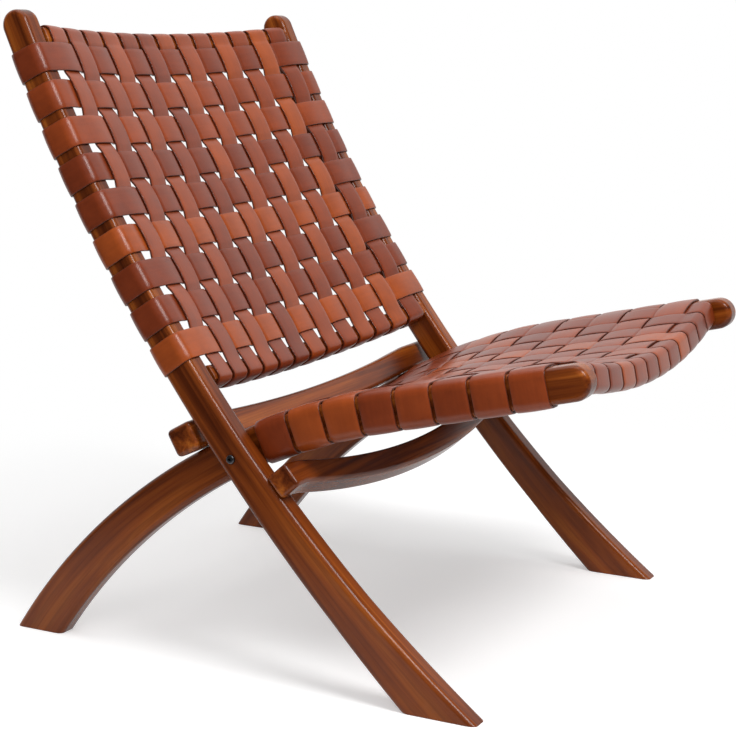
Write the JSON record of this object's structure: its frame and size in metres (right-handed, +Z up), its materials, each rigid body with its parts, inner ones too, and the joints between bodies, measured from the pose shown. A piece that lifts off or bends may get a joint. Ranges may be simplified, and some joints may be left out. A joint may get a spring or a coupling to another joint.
{
  "type": "folding lounge chair",
  "caption": "Low folding lounge chair: a wooden X-frame that turns on side bolts, with a seat and a back of woven leather straps, no arms.",
  "frame": {"origin": "on the floor, under the middle of the open chair's width and length", "axes": "+Z up, the sitter faces -Y, +X to the sitter's left-hand side, the open chair is the rest pose"},
  "size_m": [0.6372, 0.7496, 0.7627],
  "materials": {
    "wood": "satin varnish",
    "leather": "waxed, semi-gloss",
    "steel": "blackened",
    "brass": "plain",
    "nylon": "matte"
  },
  "bodies": {
    "back_frame": {"back_rail_right": "wood", "back_rail_left": "wood", "lower_back_crossbar": "wood", "top_back_crossbar": "wood", "curved_stretcher": "wood", "pivot_bolt_right": "steel", "pivot_bolt_left": "steel", "back_strap_row_1": "leather", "back_strap_row_2": "leather", "back_strap_row_3": "leather", "back_strap_row_4": "leather", "back_strap_row_5": "leather", "back_strap_row_6": "leather", "back_strap_row_7": "leather", "back_strap_row_8": "leather", "back_strap_row_9": "leather", "back_strap_column_1": "leather", "back_strap_column_2": "leather", "back_strap_column_3": "leather", "back_strap_column_4": "leather", "back_strap_column_5": "leather", "back_strap_column_6": "leather", "back_strap_column_7": "leather", "back_strap_column_8": "leather", "back_strap_column_9": "leather", "back_strap_column_10": "leather", "back_strap_column_11": "leather", "back_strap_column_12": "leather", "back_strap_column_13": "leather"},
    "seat_frame": {"seat_rail_right": "wood", "seat_rail_left": "wood", "seat_front_crossbar": "wood", "seat_rear_crossbar": "wood", "rear_stop_bar": "wood", "threaded_insert_right": "brass", "threaded_insert_left": "brass", "spacer_washer_right": "nylon", "spacer_washer_left": "nylon", "seat_strap_row_1": "leather", "seat_strap_row_2": "leather", "seat_strap_row_3": "leather", "seat_strap_row_4": "leather", "seat_strap_row_5": "leather", "seat_strap_row_6": "leather", "seat_strap_row_7": "leather", "seat_strap_row_8": "leather", "seat_strap_column_1": "leather", "seat_strap_column_2": "leather", "seat_strap_column_3": "leather", "seat_strap_column_4": "leather", "seat_strap_column_5": "leather", "seat_strap_column_6": "leather", "seat_strap_column_7": "leather", "seat_strap_column_8": "leather", "seat_strap_column_9": "leather", "seat_strap_column_10": "leather", "seat_strap_column_11": "leather", "seat_strap_column_12": "leather"}
  },
  "joints": [
    {"name": "fold", "type": "hinge", "parent": "back_frame", "child": "seat_frame", "pos_m": [0, 0.0381, 0.2636], "axis": [-1, 0, 0], "range_deg": [0, 71]}
  ]
}
